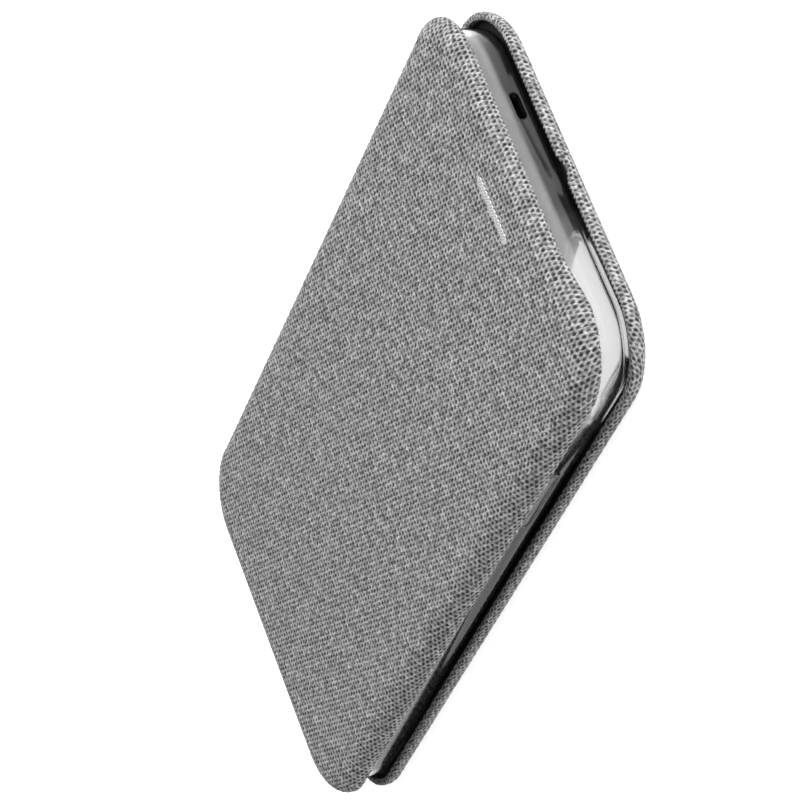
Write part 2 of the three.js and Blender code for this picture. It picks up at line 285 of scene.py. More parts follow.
@dataclass(frozen=True)
class WovenFinish:
    """Grey melange yarn: pale twisted floats, painted shade in the pits, fine fibres and a soft mottle."""

    pale: float = 0.54
    deep: float = 0.07
    # Painted shade: the near-black colour that the pits are darkened to.
    pit: float = 0.01
    mottle: float = 0.7
    fibre_lean: float = 0.35
    fibre_scale: tuple[float, float, float] = (5.0, 1.3, 1.0)
    yarn_scale: tuple[float, float, float] = (1.3, 0.7, 1.0)
    patch_scale: tuple[float, float, float] = (0.3, 0.55, 1.0)
    wander_scale: float = 0.45
    wander_by: tuple[float, float, float] = (0.22, 0.3, 0.0)
    fibre_span: tuple[float, float] = (0.34, 0.66)
    yarn_span: tuple[float, float] = (0.36, 0.64)
    pit_core: float = 0.5
    pit_edge: tuple[float, float] = (1.1, 1.3)
    # Painted shade: the least strength of the pits' darkening and its random extra.
    pit_shade_strength: tuple[float, float] = (0.7, 0.3)
    bump_deep: float = 0.14
    weave: Weave = WEAVE

    def _pits(self, shader: Shader, x: object, y: object, shift: float) -> bpy.types.NodeSocket:
        """One half of the pits.

        Args:
            shader: the material being written.
            x: place across, in weave repeats.
            y: place along, in weave repeats.
            shift: 0 or 0.5, which half.

        Returns:
            From 0 on the yarn to 1 in a pit, where it sets the painted shade and deepens the bump.
        """
        w = self.weave
        shifted_x = shader.math("ADD", x, shift)
        shifted_y = shader.math("ADD", y, 0.5 + shift)
        beside = shader.math("MULTIPLY_ADD", shader.math("FRACT", shifted_x), 2 * w.column, -w.column)
        ahead = shader.math("MULTIPLY_ADD", shader.math("FRACT", shifted_y), 2 * w.row, -w.row)
        share = shader.math("DIVIDE", ahead, w.pit_half_length)
        clamped = shader.math("MAXIMUM", shader.math("MINIMUM", share, 1.0), -1.0)
        width = shader.math("MULTIPLY_ADD", clamped, w.pit_flare, w.pit_half_width)
        lean = shader.math("MULTIPLY_ADD", ahead, -w.pit_lean, beside)
        sideways = shader.math("POWER", shader.math("ABSOLUTE", shader.math("DIVIDE", lean, width)), 2.0)
        lengthways = shader.math("POWER", shader.math("ABSOLUTE", share), 2.0)
        reach = shader.math("ADD", sideways, lengthways)
        cell = shader.combine(shader.math("FLOOR", shifted_x), shader.math("FLOOR", shifted_y), shift)
        luck = shader.node("TexWhiteNoise", {"Vector": cell}).outputs["Value"]
        outer = shader.math("MULTIPLY_ADD", luck, self.pit_edge[1], self.pit_edge[0])
        mask = shader.ramp(reach, outer, self.pit_core, smooth=False)
        least, more = self.pit_shade_strength
        return shader.math("MULTIPLY", mask, shader.math("MULTIPLY_ADD", luck, more, least))

    def make(self) -> bpy.types.Material:
        """Writes the material.

        Returns:
            The material.
        """
        shader = Shader("grey_melange_weave")
        uv = shader.node("UVMap", {}, uv_map=WEAVE_UV).outputs[0]
        wander = shader.node("TexNoise", {"Vector": uv, "Scale": self.wander_scale, "Detail": 1.0})
        centred = {0: wander.outputs["Color"], 1: (0.5, 0.5, 0.5)}
        offset = shader.node("VectorMath", centred, operation="SUBTRACT").outputs[0]
        push = {0: offset, 1: self.wander_by, 2: uv}
        pushed = shader.node("VectorMath", push, operation="MULTIPLY_ADD").outputs[0]
        split = shader.node("SeparateXYZ", {0: pushed})
        x = shader.math("DIVIDE", split.outputs[0], 2 * self.weave.column)
        y = shader.math("DIVIDE", split.outputs[1], 2 * self.weave.row)
        pits = shader.math("MAXIMUM", self._pits(shader, x, y, 0.0), self._pits(shader, x, y, 0.5))
        leaned = shader.math("MULTIPLY_ADD", split.outputs[1], -self.fibre_lean, split.outputs[0])
        sheared = shader.combine(leaned, split.outputs[1])
        fibres = shader.noise(shader.scaled(sheared, self.fibre_scale), 1.0, 3.0, 0.6)
        yarns = shader.noise(shader.scaled(pushed, self.yarn_scale), 1.0, 2.0, 0.6)
        mottle = shader.noise(shader.scaled(pushed, self.patch_scale), 1.0, 3.0, 0.6)
        contrast = shader.ramp(fibres, *self.fibre_span), shader.ramp(yarns, *self.yarn_span)
        blend = shader.math("ADD", *contrast)
        yarn = shader.math("MULTIPLY_ADD", blend, (self.pale - self.deep) / 2, self.deep)
        shade = shader.math("MULTIPLY_ADD", shader.math("SUBTRACT", mottle, 0.5), 2 * self.mottle, 1.0)
        lit = shader.math("MULTIPLY", yarn, shade)
        # Painted shade: the pits darken the yarn's colour towards the pit tone.
        pit_shade = shader.math("MULTIPLY", pits, 0.97)
        mix = {"Factor": pit_shade, "A": lit, "B": self.pit}
        mixed = shader.node("Mix", mix, data_type="FLOAT").outputs[0]
        hair = shader.math("MULTIPLY_ADD", fibres, 0.35, shader.math("MULTIPLY", pits, -0.65))
        shader.set(Base_Color=shader.grey(mixed), Roughness=0.88, Specular_IOR_Level=0.25)
        shader.set(Sheen_Weight=0.12, Sheen_Roughness=0.5)
        shader.bump(hair, self.bump_deep, 0.8)
        return shader.material


@dataclass(frozen=True)
class SuedeFinish:
    """Short black nap."""

    tone: float = 0.014

    def make(self) -> bpy.types.Material:
        """Writes the material.

        Returns:
            The material.
        """
        shader = Shader("black_suede")
        place = shader.place()
        nap = shader.noise(place, 4200.0, 3.0, 0.7)
        patches = shader.noise(place, 260.0, 2.0, 0.5)
        tone = shader.math("MULTIPLY", shader.math("ADD", nap, patches), self.tone)
        shader.set(Base_Color=shader.grey(tone), Roughness=0.95, Specular_IOR_Level=0.1)
        shader.set(Sheen_Weight=0.06, Sheen_Roughness=0.6)
        shader.bump(nap, 0.12, 0.7)
        return shader.material


@dataclass(frozen=True)
class ClearFinish:
    """Clear flexible plastic: a hazy bloom above, a clear line under the lip, and painted shade that darkens
    the colour towards the foot.

    The painted shade leaves the corner next to the camera opening clear.
    """

    name: str = "clear_tpu"
    bloom: float = 0.012
    roughness: float = 0.1
    # Painted shade: the colour of the low wall, and the colour above it where no shade is painted.
    foot_shade_tone: float = 0.3
    unshaded_tone: float = 0.86
    bloom_z: tuple[float, float] = (6.2, 7.2)
    line_at: float = 9.35
    line_half: float = 0.42
    window_x: tuple[float, float] = (5.0, 9.0)
    window_y: tuple[float, float] = (42.0, 48.0)
    foot_z: tuple[float, float] = (2.6, 3.4)
    most_clear: float = 0.985

    @staticmethod
    def _rise(shader: Shader, value: object, span: tuple[float, float]) -> bpy.types.NodeSocket:
        """From 0 to 1 across a span in millimetres."""
        return shader.ramp(value, span[0] * MM, span[1] * MM)

    def make(self) -> bpy.types.Material:
        """Writes the material.

        Returns:
            The material.
        """
        shader = Shader(self.name)
        waves = shader.noise(shader.place(), 120.0, 2.0, 0.5)
        split = shader.node("SeparateXYZ", {0: shader.place()})
        height = split.outputs[2]
        beside = self._rise(shader, split.outputs[0], self.window_x)
        window = shader.math("MULTIPLY", beside, self._rise(shader, split.outputs[1], self.window_y))
        rise = self._rise(shader, height, self.bloom_z)
        away = shader.math("ABSOLUTE", shader.math("SUBTRACT", height, self.line_at * MM))
        line = shader.ramp(away, 0.4 * self.line_half * MM, self.line_half * MM)
        cloud = shader.math("MULTIPLY_ADD", waves, 0.8, 0.6)
        milk = shader.math("MULTIPLY", shader.math("MULTIPLY", rise, line), cloud)
        clearness = shader.math("MULTIPLY_ADD", milk, -self.bloom, self.most_clear)
        foot = self._rise(shader, height, self.foot_z)
        # Painted shade: the colour darkens towards the foot of the wall, except near the camera opening.
        low_wall = shader.math("MULTIPLY", foot, shader.math("SUBTRACT", 1.0, rise))
        painted_shade = shader.math("MULTIPLY", low_wall, shader.math("SUBTRACT", 1.0, window))
        drop = self.foot_shade_tone - self.unshaded_tone
        tone = shader.math("MULTIPLY_ADD", painted_shade, drop, self.unshaded_tone)
        shader.set(Base_Color=shader.grey(tone), Roughness=self.roughness, IOR=1.49)
        shader.set(Transmission_Weight=clearness, Specular_IOR_Level=0.5)
        shader.bump(waves, 0.08, 0.35)
        return shader.material


@dataclass(frozen=True)
class MetalFinish:
    """Bright metal with fine scratches."""

    name: str
    tone: float
    roughness: float
    metallic: float = 1.0
    grain_scale: tuple[float, float, float] = (900.0, 90.0, 90.0)

    def make(self) -> bpy.types.Material:
        """Writes the material.

        Returns:
            The material.
        """
        shader = Shader(self.name)
        grain = shader.noise(shader.scaled(shader.place(), self.grain_scale), 1.0, 3.0, 0.6)
        rough = shader.math("MULTIPLY_ADD", grain, 0.2, self.roughness - 0.1)
        colour = (self.tone, self.tone, self.tone * 1.01, 1.0)
        shader.set(Base_Color=colour, Metallic=self.metallic, Roughness=rough)
        shader.bump(grain, 0.01, 0.3)
        return shader.material


@dataclass(frozen=True)
class PlainFinish:
    """A matt hidden layer with a visible grain."""

    name: str
    colour: tuple[float, float, float]
    grain_per_m: float
    depth: float

    def make(self) -> bpy.types.Material:
        """Writes the material.

        Returns:
            The material.
        """
        shader = Shader(self.name)
        grain = shader.noise(shader.place(), self.grain_per_m, 3.0, 0.6)
        low = tuple(c * 0.7 for c in self.colour) + (1.0,)
        high = tuple(min(1.0, c * 1.25) for c in self.colour) + (1.0,)
        mixed = shader.node("Mix", {"Factor": grain, 6: low, 7: high}, data_type="RGBA").outputs[2]
        shader.set(Base_Color=mixed, Roughness=0.9, Specular_IOR_Level=0.2)
        shader.bump(grain, self.depth, 0.6)
        return shader.material


# ---------------------------------------- meshes


@dataclass(frozen=True)
class Outline:
    """A rounded rectangle in plan."""

    half_x: float
    half_y: float
    corner: float
    centre_x: float = 0.0
    centre_y: float = 0.0
    steps: int = 12

    def ring(self, inset: float) -> np.ndarray:
        """Points around it, anticlockwise.

        Args:
            inset: how far inside the outline they run.

        Returns:
            An array of x and y.
        """
        radius = max(self.corner - inset, 0.02)
        turns = np.linspace(0, np.pi / 2, self.steps + 1)
        points = []
        for quarter, (sx, sy) in enumerate(((1, 1), (-1, 1), (-1, -1), (1, -1))):
            around = turns + quarter * np.pi / 2
            x = self.centre_x + sx * (self.half_x - inset - radius) + radius * np.cos(around)
            y = self.centre_y + sy * (self.half_y - inset - radius) + radius * np.sin(around)
            points.append(np.stack([x, y], 1))
        return np.concatenate(points)

    def distance(self, x: np.ndarray, y: np.ndarray) -> tuple[np.ndarray, np.ndarray, np.ndarray]:
        """Signed distance to the outline, and its outward direction.

        Args:
            x: places along X.
            y: places along Y.

        Returns:
            Distance (negative inside), direction x and direction y.
        """
        dx = x - self.centre_x
        dy = y - self.centre_y
        qx = np.abs(dx) - (self.half_x - self.corner)
        qy = np.abs(dy) - (self.half_y - self.corner)
        px = np.maximum(qx, 0)
        py = np.maximum(qy, 0)
        length = np.hypot(px, py)
        distance = length + np.minimum(np.maximum(qx, qy), 0) - self.corner
        safe = np.where(length > 0, length, 1)
        nx = np.where(length > 0, px / safe, np.where(qx > qy, 1.0, 0.0)) * np.where(dx < 0, -1, 1)
        ny = np.where(length > 0, py / safe, np.where(qx > qy, 0.0, 1.0)) * np.where(dy < 0, -1, 1)
        return distance, nx, ny


class Mesher:
    """Makes Blender objects from arrays in millimetres."""

    @staticmethod
    def build(
        name: str,
        points: np.ndarray,
        faces: Sequence[Sequence[int]] | np.ndarray,
        uv: np.ndarray | None = None,
    ) -> bpy.types.Object:
        """Makes a smooth-shaded mesh object.

        Args:
            name: the piece's name.
            points: an array of points.
            faces: vertex numbers of each face, anticlockwise from outside.
            uv: the weave place of each point, if it has one.

        Returns:
            The object, linked to the scene.
        """
        mesh = bpy.data.meshes.new(name)
        mesh.from_pydata((np.asarray(points) * MM).tolist(), [], [list(map(int, f)) for f in faces])
        mesh.polygons.foreach_set("use_smooth", [True] * len(mesh.polygons))
        if uv is not None:
            layer = mesh.uv_layers.new(name=WEAVE_UV)
            loops = np.zeros(len(mesh.loops), int)
            mesh.loops.foreach_get("vertex_index", loops)
            layer.data.foreach_set("uv", np.asarray(uv)[loops].astype(np.float32).ravel())
        mesh.update()
        piece = bpy.data.objects.new(name, mesh)
        bpy.context.scene.collection.objects.link(piece)
        return piece

    @staticmethod
    def loft(name: str, profile: Sequence[tuple[float, float]], outline: Outline) -> bpy.types.Object:
        """A closed solid through rounded rectangles.

        Args:
            name: the piece's name.
            profile: inset and z of each ring, from the outer face round to the inner one.
            outline: the rounded rectangle that insets count from.

        Returns:
            The solid, with its faces pointing out.
        """
        around = 4 * (outline.steps + 1)
        rings = [np.column_stack([outline.ring(inset), np.full(around, z)]) for inset, z in profile]
        points = np.concatenate(rings)
        count = len(rings[0])
        faces: list[list[int]] = []
        for level in range(len(rings) - 1):
            for i in range(count):
                a = level * count + i
                b = level * count + (i + 1) % count
                faces.append([a, b, b + count, a + count])
        last = (len(rings) - 1) * count
        faces.append(list(reversed(range(count))))
        faces.append(list(range(last, last + count)))
        piece = Mesher.build(name, points, faces)
        Mesher.face_out(piece)
        return piece

    @staticmethod
    def slab(name: str, outline: Outline, low: float, high: float) -> bpy.types.Object:
        """A straight-sided solid over an outline, from one z to another."""
        return Mesher.loft(name, [(0, low), (0, high)], outline)

    @staticmethod
    def squares(grid: np.ndarray) -> tuple[np.ndarray, np.ndarray, np.ndarray, np.ndarray]:
        """The four corners of every square of a grid, going round."""
        return grid[:-1, :-1], grid[:-1, 1:], grid[1:, 1:], grid[1:, :-1]

    @staticmethod
    def face_out(piece: bpy.types.Object) -> None:
        """Turns a closed mesh's faces outwards.

        Args:
            piece: the closed mesh.
        """
        work = bmesh.new()
        work.from_mesh(piece.data)
        bmesh.ops.remove_doubles(work, verts=work.verts, dist=1e-7)
        bmesh.ops.recalc_face_normals(work, faces=work.faces)
        work.to_mesh(piece.data)
        work.free()

    @staticmethod
    def cut(
        piece: bpy.types.Object, cutters: Iterable[bpy.types.Object], operation: str = "DIFFERENCE"
    ) -> None:
        """Cuts or joins a piece with closed cutters, and removes them.

        Args:
            piece: the closed solid to change.
            cutters: the solids to apply.
            operation: a boolean modifier's operation.
        """
        cutters = list(cutters)
        for cutter in cutters:
            modifier = piece.modifiers.new("cut", "BOOLEAN")
            modifier.operation = operation
            modifier.object = cutter
            modifier.solver = "EXACT"
        Mesher.bake(piece)
        for cutter in cutters:
            bpy.data.objects.remove(cutter)

    @staticmethod
    def bake(piece: bpy.types.Object) -> None:
        """Applies a piece's modifiers.

        Args:
            piece: the piece to change.
        """
        graph = bpy.context.evaluated_depsgraph_get()
        made = bpy.data.meshes.new_from_object(piece.evaluated_get(graph))
        made.name = piece.name
        old = piece.data
        piece.modifiers.clear()
        piece.data = made
        bpy.data.meshes.remove(old)

    @staticmethod
    def sharpen(piece: bpy.types.Object, degrees: float = 32.0) -> None:
        """Shades smooth except at edges sharper than an angle."""
        piece.data.polygons.foreach_set("use_smooth", [True] * len(piece.data.polygons))
        piece.data.set_sharp_from_angle(angle=math.radians(degrees))

    @staticmethod
    def sheet(name: str, points: np.ndarray, outward: Facing) -> bpy.types.Object:
        """An open sheet from a grid.

        Args:
            name: the piece's name.
            points: rows by columns by 3.
            outward: which side of the grid is the outer face.

        Returns:
            The sheet.
        """
        rows, columns = points.shape[:2]
        a, b, c, d = Mesher.squares(np.arange(rows * columns).reshape(rows, columns))
        faces = np.stack([a, b, c, d] if outward is Facing.UP else [a, d, c, b], -1)
        return Mesher.build(name, points.reshape(-1, 3), faces.reshape(-1, 4))


# ---------------------------------------- sizes


@dataclass(frozen=True)
class CaseSizes:
    """Sizes shared by the covers, the spine and the tray, all inside the frame's box."""

    width: float = 74.0
    length: float = 156.0
    height: float = 12.8
    corner: float = 12.5
    fabric: float = 0.5
    board_side: float = 0.98
    lining_side: float = 1.36
    glue: float = 0.02
    spine_half: float = 65.5
    cover_end: float = -34.7
    spine_outer: float = -37.0
    spine_inner: float = -35.4
    mid_height: float = 6.4
    camera_x: float = 19.45
    camera_y: float = 61.4
    magnet_x: float = 31.0
    magnet_y: float = 25.0

    def outline(self, steps: int = 16) -> Outline:
        """The case's outline in plan."""
        return Outline(self.width / 2, self.length / 2, self.corner, steps=steps)

    def spine_side(self, half_length: float) -> Outline:
        """A block on the spine's side of the line where the covers end."""
        return Outline(15, half_length, 0.3, self.cover_end - 15, 0, 2)


CASE = CaseSizes()


@dataclass(frozen=True)
class CoverSizes:
    """One cover's edge and layers; depths count from its outer face."""

    facing: Facing
    round_in: float
    round_deep: float
    rim: float
    board_inner: float
    lining_inner: float
    hem_width: float = 1.5
    hem_deep: float = 0.95
    hem_round: float = 0.42
    tuck: float = 0.35

    def level(self, depth: object) -> object:
        """The z of a depth below the outer face."""
        return CASE.height - depth if self.facing is Facing.UP else depth

    def flank(self, side: float, face: float, turns: np.ndarray) -> list[tuple[float, float]]:
        """A layer's surface round the edge.

        Args:
            side: its inset where it is upright.
            face: its depth where it is flat.
            turns: angles to place points at, from the flat part on.

        Returns:
            Inset and depth of each point.
        """
        insets = self.round_in - (self.round_in - side) * np.sin(turns)
        depths = self.round_deep - (self.round_deep - face) * np.cos(turns)
        return list(zip(insets, depths))

    def core(self) -> Outline:
        """The flat part of the outer face."""
        inset = self.round_in
        return Outline(CASE.width / 2 - inset, CASE.length / 2 - inset, CASE.corner - inset)


FRONT = CoverSizes(Facing.UP, 4.2, 3.0, 4.1, 2.02, 2.4)
BACK = CoverSizes(Facing.DOWN, 3.4, 2.6, 3.6, 1.42, 1.8)


# ---------------------------------------- skins


class EdgeRun:
    """A path from the flat face round a cover's edge, walked by its own length."""

    def __init__(self, stops: Sequence[tuple[float, float]]) -> None:
        """Measures the path.

        Args:
            stops: inset from the outline and depth, closely spaced.
        """
        self.inset, self.depth = np.array(stops, float).T
        steps = np.hypot(np.diff(self.inset), np.diff(self.depth))
        self.run = np.concatenate([[0], np.cumsum(steps)])
        out = -np.gradient(self.inset, self.run)
        down = np.gradient(self.depth, self.run)
        size = np.hypot(out, down)
        self.normal_out = down / size
        self.normal_up = out / size

    @property
    def total(self) -> float:
        """The path's length."""
        return float(self.run[-1])

    def at(self, distance: np.ndarray) -> tuple[np.ndarray, np.ndarray, np.ndarray, np.ndarray]:
        """Inset, depth and normal (outwards, towards the face) at a distance along the path."""
        values = (self.inset, self.depth, self.normal_out, self.normal_up)
        return tuple(np.interp(distance, self.run, v) for v in values)

    def where_inset(self, inset: float) -> float:
        """How far along the path an inset is first reached.

        Args:
            inset: the inset to look for.

        Returns:
            The distance along the path.
        """
        index = int(np.argmax(self.inset <= inset))
        a, b = self.inset[index - 1], self.inset[index]
        return float(self.run[index - 1] + (a - inset) / (a - b) * (self.run[index] - self.run[index - 1]))

    @staticmethod
    def quarter(cover: CoverSizes, steps: int = 40) -> list[tuple[float, float]]:
        """The rounded part of a cover's edge, from its face to its side."""
        return cover.flank(0.0, 0.0, np.linspace(0, np.pi / 2, steps + 1))

    @classmethod
    def rim(cls, cover: CoverSizes) -> "EdgeRun":
        """Round the edge, over the rim and down the inside of the hem.

        Args:
            cover: the cover whose edge it follows.

        Returns:
            The path.
        """
        r, top, wide = cover.hem_round, cover.rim, cover.hem_width
        turns = np.linspace(0, np.pi / 2, 9)[1:]
        stops = cls.quarter(cover)
        stops += [(0.0, top - r)]
        stops += [(r * (1 - math.cos(t)), top - r + r * math.sin(t)) for t in turns]
        stops += [(wide - r + r * math.sin(t), top - r + r * math.cos(t)) for t in [0, *turns]]
        stops += [(wide, top - cover.hem_deep), (wide, top - cover.hem_deep - cover.tuck)]
        return cls(stops)

    @classmethod
    def spine(cls, cover: CoverSizes) -> "EdgeRun":
        """Round the edge and along the spine to half of its height."""
        return cls(cls.quarter(cover) + [(0.0, CASE.mid_height)])


@dataclass
class FabricPlan:
    """One cut of cloth that covers front, spine and back; it ties the weave of its parts together."""

    front: CoverSizes = FRONT
    back: CoverSizes = BACK

    def spine_reach(self, cover: CoverSizes) -> float:
        """How far the cloth runs from the middle of a cover to half the spine's height."""
        return cover.core().half_x + EdgeRun.spine(cover).total

    def across(self, cover: CoverSizes, local: np.ndarray) -> np.ndarray:
        """Place across the whole cut.

        Args:
            cover: the cover that local counts on, from its middle towards +X.
            local: places across that cover.

        Returns:
            Places across the cut, from the middle of the front.
        """
        if cover.facing is Facing.UP:
            return local
        return -local - self.spine_reach(self.front) - self.spine_reach(self.back)

    def columns(self, cover: CoverSizes, low: float, high: float) -> np.ndarray:
        """Grid lines across a cover that fall on the weave, from low to high.

        Args:
            cover: the cover they cross.
            low: where they start.
            high: where they end.

        Returns:
            Places on that cover.
        """
        step = WEAVE.across_step
        shift = float(self.across(cover, np.array(0.0)))
        first = math.floor((low - shift) / step)
        last = math.ceil((high - shift) / step)
        return shift + step * np.arange(first, last + 1)

    @staticmethod
    def rows(low: float, high: float) -> np.ndarray:
        """Grid lines along a cover that fall on the weave, from low to high."""
        step = WEAVE.along_step
        return step * np.arange(math.floor(low / step), math.ceil(high / step) + 1)


PLAN = FabricPlan()


@dataclass(frozen=True)
class Notch:
    """A shallow dip in a rim."""

    centre: float = -0.2
    half_width: float = 3.2
    deep: float = 0.8
    from_depth: float = 1.2

    def drop(self, x: np.ndarray, y: np.ndarray, depth: np.ndarray, rim: float) -> np.ndarray:
        """How much less deep the rim is at each point on the +Y edge.

        Args:
            x: places along X.
            y: places along Y.
            depth: depths below the outer face.
            rim: the even rim's depth.

        Returns:
            What to take off each depth.
        """
        away = np.clip(np.abs(x - self.centre) / self.half_width, 0, 1)
        window = 0.5 + 0.5 * np.cos(np.pi * away)
        share = np.clip((depth - self.from_depth) / (rim - self.from_depth), 0, 1)
        return np.where(y > 0, self.deep * window * share, 0)


@dataclass(frozen=True)
class LowRim:
    """The front rim is shallower along both ends; it deepens only towards the free corners."""

    full_from: float = 27.0
    low_from: float = 14.0
    deep: float = 1.4
    fade: float = 3.0
    layer_to_x: float = 20.5
    layer_top: float = 10.3

    def drop(self, x: np.ndarray, y: np.ndarray, depth: np.ndarray, rim: float) -> np.ndarray:
        """How much less deep the edge is at each point; its rounding hardly changes.

        Args:
            x: places along X.
            y: places along Y.
            depth: depths below the outer face.
            rim: the even rim's depth.

        Returns:
            What to take off each depth.
        """
        near = np.clip((self.full_from - x) / (self.full_from - self.low_from), 0, 1)
        near = near * near * (3 - 2 * near)
        end = np.clip((np.abs(y) - CASE.spine_half) / self.fade, 0, 1)
        end = np.where(x < 0, np.abs(y) > CASE.spine_half, end)
        share = np.clip(depth / rim, 0, 1) ** 2
        return self.deep * near * end * share

    def cutters(self) -> list[bpy.types.Object]:
        """Solids that cut the lining back where the rim is low.

        Returns:
            One solid for each end.
        """
        half = (self.layer_to_x + 60) / 2
        made = []
        for side in (1, -1):
            end = Outline(half, 10.0, 0.3, self.layer_to_x - half, side * (CASE.spine_half + 10.0), 2)
            made.append(Mesher.slab("cut_end", end, -20, self.layer_top))
        return made


class SkinGrid:
    """A patch of the cloth, as a grid that is wrapped round a cover."""

    turned_in: float = 0.45

    def __init__(self, cover: CoverSizes, run: EdgeRun, columns: np.ndarray, rows: np.ndarray) -> None:
        """Lays the grid out flat.

        Args:
            cover: the cover it wraps.
            run: the edge's path.
            columns: places across.
            rows: places along.
        """
        self.cover = cover
        self.run = run
        self.core = cover.core()
        self.u, self.v = np.meshgrid(columns, rows)
        self.kept = np.ones(self.u.shape, bool)
        self.turn = np.full(self.u.shape, self.turned_in)

    def trim(self, distance: np.ndarray, nx: object, ny: object, turn: float) -> None:
        """Cuts the cloth along a line and moves the points just past it onto it.

        Args:
            distance: how far past the line each point is; negative is kept.
            nx: the cut's outward direction along X.
            ny: the cut's outward direction along Y.
            turn: how far the cut edge is turned in.
        """
        past = distance > 0
        self.u = self.u - np.where(past, distance * nx, 0)
        self.v = self.v - np.where(past, distance * ny, 0)
        self.kept &= ~past
        self.turn = np.where(past, turn, self.turn)

    def trim_rim(self) -> None:
        """Ends the cloth where the edge's path ends."""
        distance, nx, ny = self.core.distance(self.u, self.v)
        self.trim(distance - self.run.total, nx, ny, 0.3)

    def trim_spine(self) -> None:
        """Ends the cloth at the crease, between the spine's two ends."""
        start = -(self.core.half_x + self.run.where_inset(CASE.cover_end - CASE.spine_outer))
        beside = np.abs(self.v) < CASE.spine_half
        past = np.where(beside, start - self.u, -1.0)
        self.trim(past, -1.0, 0.0, 0.25)

    def trim_opening(self, opening: Outline, turn: float) -> None:
        """Cuts an opening through the face."""
        distance, nx, ny = opening.distance(self.u, self.v)
        self.trim(-distance, -nx, -ny, turn)

    def wrap(self, notch: Notch | LowRim | None = None) -> tuple[np.ndarray, np.ndarray]:
        """Takes the flat grid round the cover.

        Args:
            notch: how its rim departs from even.

        Returns:
            Points and outward normals.
        """
        distance, nx, ny = self.core.distance(self.u, self.v)
        past = np.maximum(distance, 0)
        inset, depth, out, up = self.run.at(past)
        beyond = np.where(distance > 0, self.cover.round_in - inset, 0)
        x = self.u - nx * past + nx * beyond
        y = self.v - ny * past + ny * beyond
        if notch is not None:
            depth = depth - notch.drop(x, y, depth, self.cover.rim)
        sign = self.cover.facing.value
        out = np.where(distance > 0, out, 0)
        up = np.where(distance > 0, up, 1)
        normal = np.stack([nx * out, ny * out, sign * up], -1)
        return np.stack([x, y, self.cover.level(depth)], -1), normal

    def mesh(self, name: str, notch: Notch | LowRim | None = None) -> bpy.types.Object:
        """Weaves the cloth and makes its mesh, with every cut edge turned in.

        Args:
            name: the piece's name.
            notch: how its rim departs from even.

        Returns:
            The skin.
        """
        points, normal = self.wrap(notch)
        across = PLAN.across(self.cover, self.u)
        relief = WEAVE.height(across, self.v)[..., None]
        woven = (points + normal * (relief - WEAVE.crest)).reshape(-1, 3)
        under = (points - normal * self.turn[..., None]).reshape(-1, 3)
        uv = np.stack([across, self.v], -1).reshape(-1, 2)
        kept = np.logical_or.reduce(Mesher.squares(self.kept))
        number = np.arange(self.kept.size).reshape(self.kept.shape)
        faces = np.stack([corner[kept] for corner in Mesher.squares(number)], 1)
        if self.cover.facing is Facing.DOWN:
            faces = faces[:, ::-1]
        edges = np.concatenate([faces[:, [i, (i + 1) % 4]] for i in range(4)])
        key = np.sort(edges, 1) @ np.array([self.kept.size, 1])
        _, index, count = np.unique(key, return_index=True, return_counts=True)
        rim = edges[index[count == 1]]
        walls = np.stack([rim[:, 1], rim[:, 0], rim[:, 0] + self.kept.size, rim[:, 1] + self.kept.size], 1)
        faces = np.concatenate([faces, walls])
        used, flat = np.unique(faces, return_inverse=True)
        all_points = np.concatenate([woven, under])[used]
        all_uv = np.concatenate([uv, uv])[used]
        return Mesher.build(name, all_points, flat.reshape(-1, 4), all_uv)


# ---------------------------------------- dressing


@dataclass
class Wardrobe:
    """Every finish, made once."""

    woven: bpy.types.Material = field(default_factory=lambda: WovenFinish().make())
    suede: bpy.types.Material = field(default_factory=lambda: SuedeFinish().make())
    clear: bpy.types.Material = field(default_factory=lambda: ClearFinish().make())
    # Painted light: a far hazier copy of the clear finish for the end walls, so they read lighter than the
    # side walls as if lit more strongly.
    painted_light_ends: bpy.types.Material = field(default_factory=lambda: ClearFinish("painted_light_tpu", 0.13, 0.12).make())
    mesh: bpy.types.Material = field(
        default_factory=lambda: MetalFinish("mesh_steel", 0.74, 0.4, 0.35).make()
    )
    magnet: bpy.types.Material = field(default_factory=lambda: MetalFinish("magnet_steel", 0.5, 0.4).make())
    board: bpy.types.Material = field(
        default_factory=lambda: PlainFinish("greyboard", (0.16, 0.145, 0.12), 1400.0, 0.05).make()
    )
    foam: bpy.types.Material = field(
        default_factory=lambda: PlainFinish("soft_foam", (0.05, 0.05, 0.055), 2600.0, 0.12).make()
    )
    film: bpy.types.Material = field(
        default_factory=lambda: PlainFinish("adhesive_film", (0.62, 0.6, 0.54), 700.0, 0.02).make()
    )

    def dress(self, piece: bpy.types.Object, material: bpy.types.Material, slot: Slot) -> bpy.types.Object:
        """Gives a piece its only material.

        Args:
            piece: the piece to dress.
            material: its finish.
            slot: not used.

        Returns:
            The same piece.
        """
        piece.data.materials.clear()
        piece.data.materials.append(material)
        return piece

    def dress_node(self, frame: dict, node: str, material: bpy.types.Material) -> None:
        """Gives a node of the frame a finish, and leaves its mesh alone.

        Args:
            node: the node's name.
            material: its finish.
        """
        piece = frame["nodes"][node]
        if not piece.material_slots:
            piece.data.materials.append(material)
        for place in piece.material_slots:
            place.material = material


def report(piece: bpy.types.Object) -> None:
    """Logs a finished piece."""
    LOG.info("%s: %d faces", piece.name, len(piece.data.polygons))


# ---------------------------------------- covers


